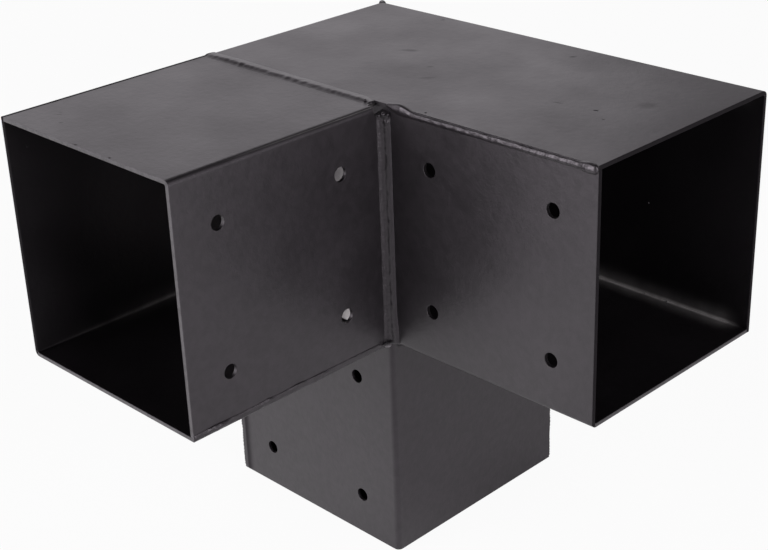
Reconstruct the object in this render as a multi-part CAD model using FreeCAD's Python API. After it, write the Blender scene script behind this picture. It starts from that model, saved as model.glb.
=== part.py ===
import FreeCAD, Part
import math
import os

from FreeCAD import Vector

# A three-way corner connector for pergola timber, in millimetres. The post stands along Z, the through
# box lies along X and opens towards +X, and the side arm lies along Y and opens towards -Y.
# The origin is the centre of the post socket's mouth, on the plane that the connector stands on.

# Driving dimensions: timber, sheet and how far each socket reaches beyond the corner
TIMBER_SIDE = 90.0
TIMBER_PLAY = 1.0
SHEET = 1.5
BEND_INSIDE_RADIUS = 0.7
SOCKET_REACH = 95.0

# Driving dimensions: screw holes, four on a square in one wall of each socket
HOLE_DIAMETER = 5.5
HOLE_SPACING = 55.0
HOLE_FROM_MOUTH = 18.2

# Driving dimensions: how the side arm meets the box
ARM_ROOT_GAP = 1.8
ARM_DROP = 0.4
CORNER_RELIEF = 1.0
ARM_RELIEF_SIDE = 3.2
ARM_RELIEF_LENGTH = 2.7

# Driving dimensions: weld metal
SEAM_WIDTH = 2.4
SEAM_HEIGHT = 1.0
SEAM_INSET = 1.3
TOP_SEAM_INSET = 2.1
BUTT_WIDTH = 3.2
BUTT_HEIGHT = 0.9
FILLET_LEG = 3.4
FILLET_SHORT_LEG = 1.3
FILLET_CROWN = 0.6
SUNKEN_DEPTH = 0.2
SUNKEN_CROWN = 0.3
CORNER_CROWN = 0.2
RUN_OUT = 5.0
RUN_END_SIZE = 0.55

# Sizes that follow from the driving dimensions
SIDE = TIMBER_SIDE + 2 * TIMBER_PLAY + 2 * SHEET
HALF = SIDE / 2
BEND = BEND_INSIDE_RADIUS + SHEET
FOOT = 0.0
SEAT = FOOT + SOCKET_REACH
TOP = SEAT + SIDE
BOX_MOUTH = HALF + SOCKET_REACH
ARM_MOUTH = -HALF - SOCKET_REACH
ARM_ROOT = -HALF - ARM_ROOT_GAP
ARM_SEAT = SEAT - ARM_DROP
ARM_TOP = TOP - ARM_DROP

# Centres of the hole squares
BOX_HOLES = Vector(BOX_MOUTH - HOLE_FROM_MOUTH - HOLE_SPACING / 2, -HALF, SEAT + HALF)
ARM_HOLES = Vector(HALF, ARM_MOUTH + HOLE_FROM_MOUTH + HOLE_SPACING / 2, ARM_SEAT + HALF)
POST_HOLES = Vector(0, -HALF, FOOT + HOLE_FROM_MOUTH + HOLE_SPACING / 2)

X = Vector(1, 0, 0)
Y = Vector(0, 1, 0)
Z = Vector(0, 0, 1)


def outline_wire(outline, origin, u, v):
    """A closed flat wire drawn from origin along u and v. A bare point ends a straight line, and a pair
    of points is an arc through the first to the second. A last line closes it."""

    def place(point):
        return origin + u * point[0] + v * point[1]

    edges = []
    here = outline[0]
    for step in outline[1:]:
        if isinstance(step[0], tuple):
            through, there = step
            edges.append(Part.Arc(place(here), place(through), place(there)).toShape())
        else:
            there = step
            edges.append(Part.LineSegment(place(here), place(there)).toShape())
        here = there
    if here != outline[0]:
        edges.append(Part.LineSegment(place(here), place(outline[0])).toShape())
    return Part.Wire(edges)


def prism(outline, origin, u, v, sweep):
    """Extrudes a closed outline along sweep."""
    return Part.Face(outline_wire(outline, origin, u, v)).extrude(sweep)


def folded_sheet(fold, u, v, leg_u, leg_v, sweep):
    """One fold: legs along u and v from the virtual outer corner, with true bend radii."""
    outer_middle = BEND * (1 - math.sqrt(0.5))
    inner_middle = BEND - BEND_INSIDE_RADIUS * math.sqrt(0.5)
    outline = [
        (leg_u, 0),
        (BEND, 0),
        ((outer_middle, outer_middle), (0, BEND)),
        (0, leg_v),
        (SHEET, leg_v),
        (SHEET, BEND),
        ((inner_middle, inner_middle), (BEND, SHEET)),
        (leg_u, SHEET),
    ]
    return prism(outline, fold, u, v, sweep)


def drill_square(sheet, centre, normal, row, column):
    """Drills the four screw holes of one wall, on a square about a point of its outer face."""
    reach = 2 * SHEET
    for i in (-0.5, 0.5):
        for j in (-0.5, 0.5):
            spot = centre + (row * i + column * j) * HOLE_SPACING - normal * reach
            sheet = sheet.cut(Part.makeCylinder(HOLE_DIAMETER / 2, 2 * reach, spot, normal))
    return sheet


def raised_bead(start, end, across, outward, width, height):
    """A seam bead on a flat face: a low crown with round ends centred on start and end."""
    radius = (width ** 2 / 4 + height ** 2) / (2 * height)
    half_turn = math.asin(width / 2 / radius) / 2
    shoulder = (radius * math.sin(half_turn), height - radius + radius * math.cos(half_turn))
    crown = [(-width / 2, 0), ((0, height), (width / 2, 0))]
    half_crown = [(0, 0), (width / 2, 0), (shoulder, (0, height))]
    bead = prism(crown, start, across, outward, end - start)
    along = (end - start).normalize()
    away = 180 if outward.cross(across).dot(along) > 0 else -180
    for spot, turn in ((start, -away), (end, away)):
        half = Part.Face(outline_wire(half_crown, spot, across, outward))
        bead = bead.fuse(half.revolve(spot, outward, turn))
    return bead.removeSplitter()


def fillet_run(corner, u, v, leg_u, leg_v, run):
    """A fillet in an inside corner, with a crowned face and a thinner run-out at each end."""
    along = Vector(run).normalize()
    stations = (
        (0, RUN_END_SIZE),
        (RUN_OUT, 1),
        (run.Length - RUN_OUT, 1),
        (run.Length, RUN_END_SIZE),
    )
    wires = []
    for place, size in stations:
        middle = ((leg_u / 2 + FILLET_CROWN) * size, (leg_v / 2 + FILLET_CROWN) * size)
        outline = [(0, 0), (leg_u * size, 0), (middle, (0, leg_v * size))]
        wires.append(outline_wire(outline, corner + along * place, u, v))
    return Part.makeLoft(wires, True, True)


def cover_sheet():
    """Top, back and end of the box: one blank with two folds and an open upright corner. Undrilled."""
    length = BOX_MOUTH + HALF - BEND
    top_and_back = folded_sheet(Vector(BOX_MOUTH, HALF, TOP), -Y, -Z, SIDE, SIDE, -X * length)
    top_and_end = folded_sheet(Vector(-HALF, -HALF, TOP), X, -Z, SIDE, SIDE, Y * (SIDE - BEND))
    return top_and_back.fuse(top_and_end).removeSplitter()


def cradle_sheet():
    """Front and bottom of the box. Its edges butt against the inside of the cover."""
    leg = SIDE - SHEET
    left = -HALF + SHEET
    sheet = folded_sheet(Vector(left, -HALF, SEAT), Y, Z, leg, leg, X * (BOX_MOUTH - left))
    corner = Vector(left, -HALF, TOP - SHEET - CORNER_RELIEF)
    sheet = sheet.cut(Part.makeBox(CORNER_RELIEF, SHEET, CORNER_RELIEF, corner))
    return drill_square(sheet, BOX_HOLES, Y, X, Z)


def arm_hood_sheet():
    """Top and right wall of the side arm, with a relief at the root end of the fold."""
    fold = Vector(HALF, ARM_MOUTH, ARM_TOP)
    sheet = folded_sheet(fold, -X, -Z, SIDE, SIDE - SHEET, Y * (ARM_ROOT - ARM_MOUTH))
    corner = Vector(HALF - ARM_RELIEF_SIDE, ARM_ROOT - ARM_RELIEF_LENGTH, ARM_TOP - ARM_RELIEF_SIDE)
    sheet = sheet.cut(Part.makeBox(ARM_RELIEF_SIDE, ARM_RELIEF_LENGTH, ARM_RELIEF_SIDE, corner))
    return drill_square(sheet, ARM_HOLES, X, Y, Z)


def arm_tray_sheet():
    """Left wall and bottom of the side arm. Undrilled."""
    fold = Vector(-HALF, ARM_MOUTH, ARM_SEAT)
    return folded_sheet(fold, X, Z, SIDE, SIDE - SHEET, Y * (ARM_ROOT - ARM_MOUTH))


def post_front_sheet():
    """Front and right wall of the post socket. Its edges lap the rear sheet's edges."""
    sheet = folded_sheet(Vector(HALF, -HALF, FOOT), -X, Y, SIDE, SIDE, Z * SOCKET_REACH)
    return drill_square(sheet, POST_HOLES, Y, X, Z)


def post_rear_sheet():
    """Back and left wall of the post socket. Undrilled."""
    leg = SIDE - SHEET
    return folded_sheet(Vector(-HALF, HALF, FOOT), X, -Y, leg, leg, Z * SOCKET_REACH)


def weld_box_top_seam():
    """On the front wall, just under the edge of the top plate."""
    height = TOP - TOP_SEAM_INSET
    start = Vector(HALF + (FILLET_LEG + SEAM_WIDTH) / 2, -HALF, height)
    end = Vector(BOX_MOUTH - SEAM_WIDTH, -HALF, height)
    return raised_bead(start, end, Z, -Y, SEAM_WIDTH, SEAM_HEIGHT)


def weld_box_bottom_seam():
    """Under the box, where the bottom plate meets the back."""
    start = Vector(HALF + FILLET_LEG + RUN_OUT, HALF - SEAM_INSET, SEAT)
    end = Vector(BOX_MOUTH - RUN_OUT / 2, HALF - SEAM_INSET, SEAT)
    return raised_bead(start, end, Y, -Z, SEAM_WIDTH, SEAM_HEIGHT)


def weld_box_corner_seam():
    """Fills the upright corner that the cover's two flanges leave open."""
    outline = [
        (BEND, 0),
        (BEND, SHEET),
        (SHEET, SHEET),
        (SHEET, BEND),
        (0, BEND),
        ((CORNER_CROWN, CORNER_CROWN), (BEND, 0)),
    ]
    return prism(outline, Vector(-HALF, HALF, SEAT), X, -Y, Z * SIDE)


def weld_arm_top_seam():
    """On the arm's left wall, under the edge of its top."""
    height = ARM_TOP - SEAM_INSET
    start = Vector(-HALF, ARM_MOUTH + RUN_OUT / 2, height)
    end = Vector(-HALF, ARM_ROOT - RUN_OUT, height)
    return raised_bead(start, end, Z, -X, SEAM_WIDTH, SEAM_HEIGHT)


def weld_arm_bottom_seam():
    """On the arm's right wall, over the edge of its bottom."""
    height = ARM_SEAT + SEAM_INSET
    start = Vector(HALF, ARM_MOUTH + SEAM_WIDTH / 2, height)
    end = Vector(HALF, ARM_ROOT - RUN_OUT, height)
    return raised_bead(start, end, Z, X, SEAM_WIDTH, SEAM_HEIGHT)


def weld_post_left_seam():
    """On the post's left wall, behind the edge of its front wall."""
    start = Vector(-HALF, -HALF + SEAM_INSET, FOOT + SEAM_WIDTH / 2)
    end = Vector(-HALF, -HALF + SEAM_INSET, SEAT - RUN_OUT)
    return raised_bead(start, end, Y, -X, SEAM_WIDTH, SEAM_HEIGHT)


def weld_post_right_seam():
    """On the post's rear wall, behind the edge of its right wall."""
    start = Vector(HALF - SEAM_INSET, HALF, FOOT + SEAM_WIDTH / 2)
    end = Vector(HALF - SEAM_INSET, HALF, SEAT - RUN_OUT)
    return raised_bead(start, end, X, Y, SEAM_WIDTH, SEAM_HEIGHT)


def weld_arm_to_box_top():
    """The seam in the gap between the arm's top and the box, below the box's top."""
    outline = [
        (0, -SHEET),
        (ARM_ROOT_GAP, -SHEET),
        (ARM_ROOT_GAP, -SUNKEN_DEPTH),
        ((ARM_ROOT_GAP / 2, SUNKEN_CROWN - SUNKEN_DEPTH), (0, -SUNKEN_DEPTH)),
    ]
    return prism(outline, Vector(-HALF, ARM_ROOT, ARM_TOP), Y, Z, X * (SIDE - BEND))


def weld_arm_to_box_inner():
    """The upright fillet in the inside corner, with its root in the gap behind the arm's right wall."""
    run = Z * (SIDE - BEND - FILLET_LEG)
    corner = Vector(HALF, -HALF, SEAT + BEND)
    toe = ARM_ROOT_GAP + FILLET_SHORT_LEG
    face = fillet_run(corner, X, -Y, FILLET_LEG, toe, run)
    root = [(-SHEET, 0), (0, 0), (0, ARM_ROOT_GAP), (-SHEET, ARM_ROOT_GAP)]
    return face.fuse(prism(root, corner, X, -Y, run)).removeSplitter()


def weld_arm_to_box_outer():
    """The upright butt seam outside, with its root in the gap behind the arm's left wall."""
    toe = (BUTT_WIDTH - ARM_ROOT_GAP) / 2
    outline = [
        (SHEET, 0),
        (0, 0),
        (0, -toe),
        ((-BUTT_HEIGHT, ARM_ROOT_GAP / 2), (0, ARM_ROOT_GAP + toe)),
        (0, ARM_ROOT_GAP),
        (SHEET, ARM_ROOT_GAP),
    ]
    run = Z * (SIDE - BEND - RUN_OUT)
    return prism(outline, Vector(-HALF, -HALF, SEAT + BEND), X, -Y, run)


def weld_post_to_arm():
    """The fillet under the arm, with its root in the gap between the arm's bottom and the post."""
    run = X * (SIDE - 2 * BEND)
    corner = Vector(-HALF + BEND, -HALF, ARM_SEAT)
    toe = ARM_ROOT_GAP + FILLET_SHORT_LEG
    face = fillet_run(corner, -Y, -Z, toe, FILLET_LEG, run)
    root = [(0, 0), (ARM_ROOT_GAP, 0), (ARM_ROOT_GAP, SHEET), (0, ARM_DROP)]
    return face.fuse(prism(root, corner, -Y, Z, run)).removeSplitter()


def weld_post_to_box_right():
    """The fillet under the box, against the post's right wall."""
    corner = Vector(HALF, -HALF + BEND, SEAT)
    return fillet_run(corner, X, -Z, FILLET_LEG, FILLET_LEG, Y * (SIDE - BEND))


def weld_post_to_box_back():
    """The butt seam between the post's rear wall and the back of the box."""
    start = Vector(-HALF + RUN_OUT, HALF, SEAT)
    end = Vector(HALF - RUN_OUT, HALF, SEAT)
    return raised_bead(start, end, Z, Y, BUTT_WIDTH, BUTT_HEIGHT)


def weld_post_to_box_left():
    """The butt seam between the post's left wall and the end of the box."""
    start = Vector(-HALF, -HALF + RUN_OUT, SEAT)
    end = Vector(-HALF, HALF - RUN_OUT, SEAT)
    return raised_bead(start, end, Z, -X, BUTT_WIDTH, BUTT_HEIGHT)


PIECES = [
    cover_sheet,
    cradle_sheet,
    arm_hood_sheet,
    arm_tray_sheet,
    post_front_sheet,
    post_rear_sheet,
    weld_box_top_seam,
    weld_box_bottom_seam,
    weld_box_corner_seam,
    weld_arm_top_seam,
    weld_arm_bottom_seam,
    weld_post_left_seam,
    weld_post_right_seam,
    weld_arm_to_box_top,
    weld_arm_to_box_inner,
    weld_arm_to_box_outer,
    weld_post_to_arm,
    weld_post_to_box_right,
    weld_post_to_box_back,
    weld_post_to_box_left,
]


def main():
    os.makedirs("parts", exist_ok=True)
    for piece in PIECES:
        shape = piece()
        name = piece.__name__
        print(f"{name}: {len(shape.Solids)} solid, valid {shape.isValid()}, {shape.Volume:.1f} mm3")
        shape.exportStep(f"parts/{name}.step")


main()
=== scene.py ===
# %% [markdown]
# # A welded corner connector for pergola timber
# The real object is six folded steel sheets, welded together into three square sockets and powder coated
# black. The flat walls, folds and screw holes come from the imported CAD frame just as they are. This lesson
# gives them a coat of paint, softens their cut edges, and lays a lumpy bead of weld wherever the CAD
# model only has a smooth one.

# %% Load the frame
import math

import bmesh
import bpy
from mathutils import Matrix, Quaternion, Vector, noise


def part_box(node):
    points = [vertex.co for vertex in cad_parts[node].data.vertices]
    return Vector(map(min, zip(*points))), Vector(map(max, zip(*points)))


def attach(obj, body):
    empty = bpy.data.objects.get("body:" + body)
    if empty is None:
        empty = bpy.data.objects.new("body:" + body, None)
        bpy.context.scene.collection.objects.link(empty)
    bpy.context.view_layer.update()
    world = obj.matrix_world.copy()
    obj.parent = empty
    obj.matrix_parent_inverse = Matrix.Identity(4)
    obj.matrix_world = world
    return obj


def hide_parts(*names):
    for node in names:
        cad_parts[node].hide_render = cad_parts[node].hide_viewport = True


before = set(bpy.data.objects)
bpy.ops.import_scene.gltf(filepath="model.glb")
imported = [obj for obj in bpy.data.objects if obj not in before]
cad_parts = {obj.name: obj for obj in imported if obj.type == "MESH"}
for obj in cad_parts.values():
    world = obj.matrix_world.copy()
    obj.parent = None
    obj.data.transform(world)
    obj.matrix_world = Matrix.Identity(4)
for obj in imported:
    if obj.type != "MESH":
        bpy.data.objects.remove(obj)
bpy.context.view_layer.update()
sheets = sorted(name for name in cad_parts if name.endswith("_sheet"))

# %% [markdown]
# ## Where the camera stands
# A camera can be dragged until the picture looks right, or worked out. Here thirteen corners and eleven
# holes of the real object were measured in its photograph and a pinhole camera was fitted to them, so
# the eye's place, the turn of the view and the focal length are known numbers.

# %% Place the camera
MM = 0.001
PHOTO_WIDTH = 768
FOCAL_PIXELS = 1532.46
SENSOR_WIDTH = 36.0
EYE = Vector((412.64, -405.00, 364.77)) * MM
VIEW_AZIMUTH = math.radians(45.81)
VIEW_ELEVATION = math.radians(25.293)
VIEW_ROLL = math.radians(-2.18)

photo_camera = bpy.data.objects.new("photo_camera", bpy.data.cameras.new("photo_camera"))
photo_camera.data.sensor_width = SENSOR_WIDTH
photo_camera.data.lens = SENSOR_WIDTH * FOCAL_PIXELS / PHOTO_WIDTH
level = math.cos(VIEW_ELEVATION)
backwards = Vector((
    math.sin(VIEW_AZIMUTH) * level,
    -math.cos(VIEW_AZIMUTH) * level,
    math.sin(VIEW_ELEVATION),
))
roll = Quaternion((0, 0, 1), VIEW_ROLL)
photo_camera.rotation_mode = "QUATERNION"
photo_camera.rotation_quaternion = (-backwards).to_track_quat("-Z", "Y") @ roll
photo_camera.location = EYE
bpy.context.collection.objects.link(photo_camera)
bpy.context.scene.camera = photo_camera
print("lens in mm:", round(photo_camera.data.lens, 2))

# %% [markdown]
# ## A white room with a dim ceiling
# A black satin coat shows little else than what it mirrors. The photograph's folds go bright, dark and
# bright again: they mirror pale walls, then an unlit ceiling, then the floor. So the world is white to the
# camera, and to every other ray it is a pale band round the horizon under a dark ceiling. The upright fold
# that points at the camera has a dark line, because it mirrors an unlit part of the room there, so the
# front of the room is darker too. Light Path tells the rays apart.

# %% Helpers for shader trees
def feed(tree, socket, value):
    """Links an input to a socket, or sets it to a plain value."""
    if isinstance(value, bpy.types.NodeSocket):
        tree.links.new(value, socket)
    else:
        socket.default_value = value


def add(tree, kind, **inputs):
    """Adds a shader node and feeds its inputs, which are named, or numbered as i0, i1 and so on."""
    node = tree.nodes.new(kind)
    for name, value in inputs.items():
        key = int(name[1:]) if name[1:].isdigit() else name.replace("_", " ")
        feed(tree, node.inputs[key], value)
    return node


def calculate(tree, operation, *values):
    """A Math node, as the socket that it puts out."""
    node = add(tree, "ShaderNodeMath", **{f"i{n}": value for n, value in enumerate(values)})
    node.operation = operation
    return node.outputs[0]


def product(tree, *factors):
    """The factors multiplied, one after the other."""
    result = factors[0]
    for factor in factors[1:]:
        result = calculate(tree, "MULTIPLY", result, factor)
    return result


def ramp(tree, value, start, end, first, last):
    """Goes smoothly from first to last while value goes from start to end."""
    limits = {"From_Min": start, "From_Max": end, "To_Min": first, "To_Max": last}
    node = add(tree, "ShaderNodeMapRange", Value=value, **limits)
    node.interpolation_type = "SMOOTHSTEP"
    return node.outputs[0]


def here(tree):
    """Where a surface point is, in metres of the frame."""
    return tree.nodes.new("ShaderNodeTexCoord").outputs["Object"]


print("shader helpers ready")

# %% The world
WALL_LIGHT = 0.455
CEILING_LIGHT = 0.01
WALL_TOP = 0.45
CEILING_START = 0.70
FRONT_GAIN = 1.45
FRONT_FULL = 0.5
SHADE = 0.95
SHADE_NEAR = math.radians(12)
SHADE_FAR = math.radians(36)
WHITE = (1, 1, 1, 1)
STUDIO_WHITE = (1, 0.96, 1, 1)


def front_shade(tree, x, y):
    """How much of the shade at the front of the room lies in the direction that x and y give."""
    turn = calculate(tree, "ARCTAN2", calculate(tree, "ADD", x, y), calculate(tree, "SUBTRACT", x, y))
    return ramp(tree, calculate(tree, "ABSOLUTE", turn), SHADE_NEAR, SHADE_FAR, 1.0, 0.0)


world = bpy.data.worlds.new("white_room")
world.use_nodes = True
tree = world.node_tree
tree.nodes.clear()
direction = tree.nodes.new("ShaderNodeTexCoord").outputs["Generated"]
x, y, z = add(tree, "ShaderNodeSeparateXYZ", Vector=direction).outputs
band = ramp(tree, z, WALL_TOP, CEILING_START, WALL_LIGHT, CEILING_LIGHT)
lit = calculate(tree, "MULTIPLY_ADD", front_shade(tree, x, y), -SHADE, 1.0)
gain = ramp(tree, y, -FRONT_FULL, 0.0, FRONT_GAIN, 1.0)
path = tree.nodes.new("ShaderNodeLightPath").outputs
straight = calculate(tree, "MAXIMUM", path["Is Camera Ray"], path["Is Transmission Ray"])
room = add(tree, "ShaderNodeBackground", Color=STUDIO_WHITE, Strength=product(tree, band, lit, gain))
backdrop = add(tree, "ShaderNodeBackground", Color=WHITE)
both = add(tree, "ShaderNodeMixShader", Fac=straight, i1=room.outputs[0], i2=backdrop.outputs[0])
add(tree, "ShaderNodeOutputWorld", Surface=both.outputs[0])
bpy.context.scene.world = world
print("world:", len(tree.nodes), "nodes")

# %% [markdown]
# ## The floor
# The floor is white paper. For the camera it glows, so that it reaches full white, but a little of its own
# shading stays and keeps the connector's shadow. In reflections it glows most at the front left, least
# close behind on the right, where the connector's own shadow lies, and more again further off: that is how
# the photograph's two kinds of wall differ. The square under the hollow post has no glow, or light would
# shine out of the post's screw holes.

# %% Lay the floor
FLOOR_HALF = 4.0
FLOOR_COLOUR = (0.86, 0.86, 0.86, 1)
FLOOR_GLOW = 0.94
GLOW_FRONT = 0.92
GLOW_BACK = 0.23
GLOW_FAR = 0.52
BLEND_START = -0.06
BLEND_END = 0.08
FAR_START = 0.18
FAR_FULL = 0.34
SHADE_START = 0.10
SHADE_FULL = 0.36
SHEET = 1.5 * MM
HALF_SHEET = SHEET / 2
POST_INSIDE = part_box("post_rear_sheet")[1].y - HALF_SHEET


def floor_material(name, glowing):
    """Matt white, and where it is glowing, a share of it is plain white light."""
    material = bpy.data.materials.new(name)
    material.use_nodes = True
    tree = material.node_tree
    tree.nodes.clear()
    surface = add(tree, "ShaderNodeBsdfDiffuse", Color=FLOOR_COLOUR)
    if glowing:
        x, y, _ = add(tree, "ShaderNodeSeparateXYZ", Vector=here(tree)).outputs
        to_back = calculate(tree, "ADD", x, y)
        to_front = calculate(tree, "SUBTRACT", x, y)
        near = ramp(tree, to_back, BLEND_START, BLEND_END, GLOW_FRONT, GLOW_BACK)
        beyond = ramp(tree, to_back, FAR_START, FAR_FULL, 0.0, GLOW_FAR - GLOW_BACK)
        mirrored = calculate(tree, "ADD", near, beyond)
        further = ramp(tree, to_front, SHADE_START, SHADE_FULL, 0.0, -SHADE)
        shade = calculate(tree, "MULTIPLY", front_shade(tree, x, y), further)
        mirrored = calculate(tree, "MULTIPLY_ADD", mirrored, shade, mirrored)
        path = tree.nodes.new("ShaderNodeLightPath").outputs
        straight = calculate(tree, "MAXIMUM", path["Is Camera Ray"], path["Is Transmission Ray"])
        shown = calculate(tree, "MULTIPLY", path["Is Glossy Ray"], mirrored)
        share = calculate(tree, "MULTIPLY_ADD", straight, FLOOR_GLOW, shown)
        glow = add(tree, "ShaderNodeEmission", Color=WHITE)
        surface = add(tree, "ShaderNodeMixShader", Fac=share, i1=surface.outputs[0], i2=glow.outputs[0])
    add(tree, "ShaderNodeOutputMaterial", Surface=surface.outputs[0])
    return material


ring = [(-1, -1, 0), (1, -1, 0), (1, 1, 0), (-1, 1, 0)]
spots = [Vector(c) * FLOOR_HALF for c in ring] + [Vector(c) * POST_INSIDE for c in ring]
faces = [(n, (n + 1) % 4, 4 + (n + 1) % 4, 4 + n) for n in range(4)] + [(4, 5, 6, 7)]
floor_mesh = bpy.data.meshes.new("floor")
floor_mesh.from_pydata(spots, [], faces)
floor_mesh.materials.append(floor_material("white_floor", True))
floor_mesh.materials.append(floor_material("floor_in_post", False))
# The last face is the square inside the post.
floor_mesh.polygons[len(faces) - 1].material_index = 1
floor = bpy.data.objects.new("floor", floor_mesh)
bpy.context.collection.objects.link(floor)
print("floor side in metres:", 2 * FLOOR_HALF)

# %% [markdown]
# ## Soft lamps
# Three square lamps stand round the object. The ones at the front left and on the right fill the two kinds
# of wall and draw thin bright lines on the weld beads, and the wide one behind is mirrored by the tops.
# Their strengths were found by rendering each alone and weighing the pictures against the photograph.

# %% Hang the lamps
LAMP_TARGET = Vector((0.01, -0.05, 0.14))
# Each lamp's name, watts, side and place in metres.
LAMPS = [
    ("front_lamp", 21.0, 1.0, (-0.42, -1.55, 0.48)),
    ("right_lamp", 18.0, 1.0, (1.60, -0.10, 0.55)),
    ("back_lamp", 4.5, 1.4, (-1.15, 0.75, 0.95)),
]

for name, watts, side, place in LAMPS:
    lamp = bpy.data.objects.new(name, bpy.data.lights.new(name, "AREA"))
    lamp.data.size = side
    lamp.data.energy = watts
    lamp.data.color = STUDIO_WHITE[:3]
    lamp.location = place
    lamp.rotation_mode = "QUATERNION"
    lamp.rotation_quaternion = (LAMP_TARGET - lamp.location).to_track_quat("-Z", "Y")
    lamp.visible_camera = False
    bpy.context.collection.objects.link(lamp)
bpy.context.scene.view_settings.view_transform = "Standard"
print("lamps:", [row[0] for row in LAMPS])

# %% [markdown]
# ## The powder coat
# Powder coat is melted plastic: nearly black, satin, and never quite flat. Close up it has the fine
# dimples that painters call orange peel, from further off it looks a little cloudy, and dust that fell in
# before it set leaves small nibs, most of them near the cut rims. Node groups make those effects once, and
# every finish places them with values of its own. They read the object's own coordinates, which are metres
# of the frame, so nothing has to be unwrapped.

# %% Group: orange peel
PEEL_FINE = 1400.0
PEEL_COARSE = 380.0
PEEL_DETAIL = 1.0


def start_group(name, inputs, outputs):
    """A shader node group with named sockets: its tree, what it is given and what it puts out."""
    group = bpy.data.node_groups.new(name, "ShaderNodeTree")
    for label, value in inputs.items():
        kind = "NodeSocketColor" if isinstance(value, tuple) else "NodeSocketFloat"
        group.interface.new_socket(label, in_out="INPUT", socket_type=kind).default_value = value
    for label, kind in outputs.items():
        group.interface.new_socket(label, in_out="OUTPUT", socket_type=f"NodeSocket{kind}")
    return group, group.nodes.new("NodeGroupInput").outputs, group.nodes.new("NodeGroupOutput").inputs


def grain(tree, scale, detail):
    """A noise that runs through the steel, with a mean of one half."""
    return add(tree, "ShaderNodeTexNoise", Vector=here(tree), Scale=scale, Detail=detail).outputs[0]


peel, given, made = start_group("orange_peel", {"Coarse share": 0.5}, {"Height": "Float"})
fine = grain(peel, PEEL_FINE, PEEL_DETAIL)
coarse = grain(peel, PEEL_COARSE, PEEL_DETAIL)
blend = add(peel, "ShaderNodeMix", Factor=given["Coarse share"], A=fine, B=coarse)
peel.links.new(blend.outputs[0], made["Height"])
print("orange peel:", len(peel.nodes), "nodes")

# %% Group: clouds in the coat
CLOUD_SCALE = 30.0
CLOUD_DETAIL = 5.0
MOTTLE_SCALE = 330.0
MOTTLE_DETAIL = 2.0
GRAIN_MEAN = 0.5
# Where a Mix node for colours has its sockets.
MIX_FACTOR, MIX_FIRST, MIX_SECOND, MIX_RESULT = 0, 6, 7, 2


def mix_colours(tree, factor, first, second):
    """A Mix node for colours, as the socket that it puts out."""
    node = tree.nodes.new("ShaderNodeMix")
    node.data_type = "RGBA"
    feed(tree, node.inputs[MIX_FACTOR], factor)
    feed(tree, node.inputs[MIX_FIRST], first)
    feed(tree, node.inputs[MIX_SECOND], second)
    return node.outputs[MIX_RESULT]


clouds, given, made = start_group(
    "coat_clouds",
    {"Dark": WHITE, "Light": WHITE, "Mottling": 1.0, "Satin": 0.4, "Spread": 0.1},
    {"Colour": "Color", "Roughness": "Float"},
)
drift = grain(clouds, CLOUD_SCALE, CLOUD_DETAIL)
swing = calculate(clouds, "SUBTRACT", drift, GRAIN_MEAN)
satin = calculate(clouds, "MULTIPLY_ADD", swing, given["Spread"], given["Satin"])
mottle = calculate(clouds, "SUBTRACT", grain(clouds, MOTTLE_SCALE, MOTTLE_DETAIL), GRAIN_MEAN)
fleck = calculate(clouds, "MULTIPLY_ADD", mottle, given["Mottling"], drift)
clouds.links.new(mix_colours(clouds, fleck, given["Dark"], given["Light"]), made["Colour"])
clouds.links.new(satin, made["Roughness"])
print("clouds:", len(clouds.nodes), "nodes")

# %% Where the mouths are
# The mouths lie on known planes, so a point's depth behind each one is a plain subtraction.
BOX_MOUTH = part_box("cradle_sheet")[1].x
ARM_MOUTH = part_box("arm_hood_sheet")[0].y
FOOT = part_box("post_front_sheet")[0].z


def depths(tree):
    """How deep a point lies behind the mouth of the box, of the arm and of the post, in metres."""
    x, y, z = add(tree, "ShaderNodeSeparateXYZ", Vector=here(tree)).outputs
    behind_box = calculate(tree, "SUBTRACT", BOX_MOUTH, x)
    behind_arm = calculate(tree, "SUBTRACT", y, ARM_MOUTH)
    return {"Box": behind_box, "Arm": behind_arm, "Post": calculate(tree, "SUBTRACT", z, FOOT)}


print("mouths in mm:", [round(v / MM, 1) for v in (BOX_MOUTH, ARM_MOUTH, FOOT)])

# %% Group: dust nibs
NIB_CELLS = 420.0
NIB_RADIUS = 0.11
NIB_CROWD_DEPTH = 7.0 * MM

nibs, given, made = start_group(
    "dust_nibs",
    {"Share of cells": 0.02, "Share at rims": 0.2},
    {"Height": "Float"},
)
cells = add(nibs, "ShaderNodeTexVoronoi", Vector=here(nibs), Scale=NIB_CELLS)
luck = add(nibs, "ShaderNodeSeparateColor", Color=cells.outputs["Color"]).outputs[0]
behind = depths(nibs)
nearest = calculate(nibs, "MINIMUM", behind["Box"], behind["Arm"])
crowd = ramp(nibs, nearest, 0.0, NIB_CROWD_DEPTH, 1.0, 0.0)
share = calculate(nibs, "MULTIPLY_ADD", crowd, given["Share at rims"], given["Share of cells"])
chosen = calculate(nibs, "LESS_THAN", luck, share)
dome = ramp(nibs, cells.outputs["Distance"], 0.0, NIB_RADIUS, 1.0, 0.0)
nibs.links.new(calculate(nibs, "MULTIPLY", chosen, dome), made["Height"])
print("dust nibs:", len(nibs.nodes), "nodes")
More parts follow.
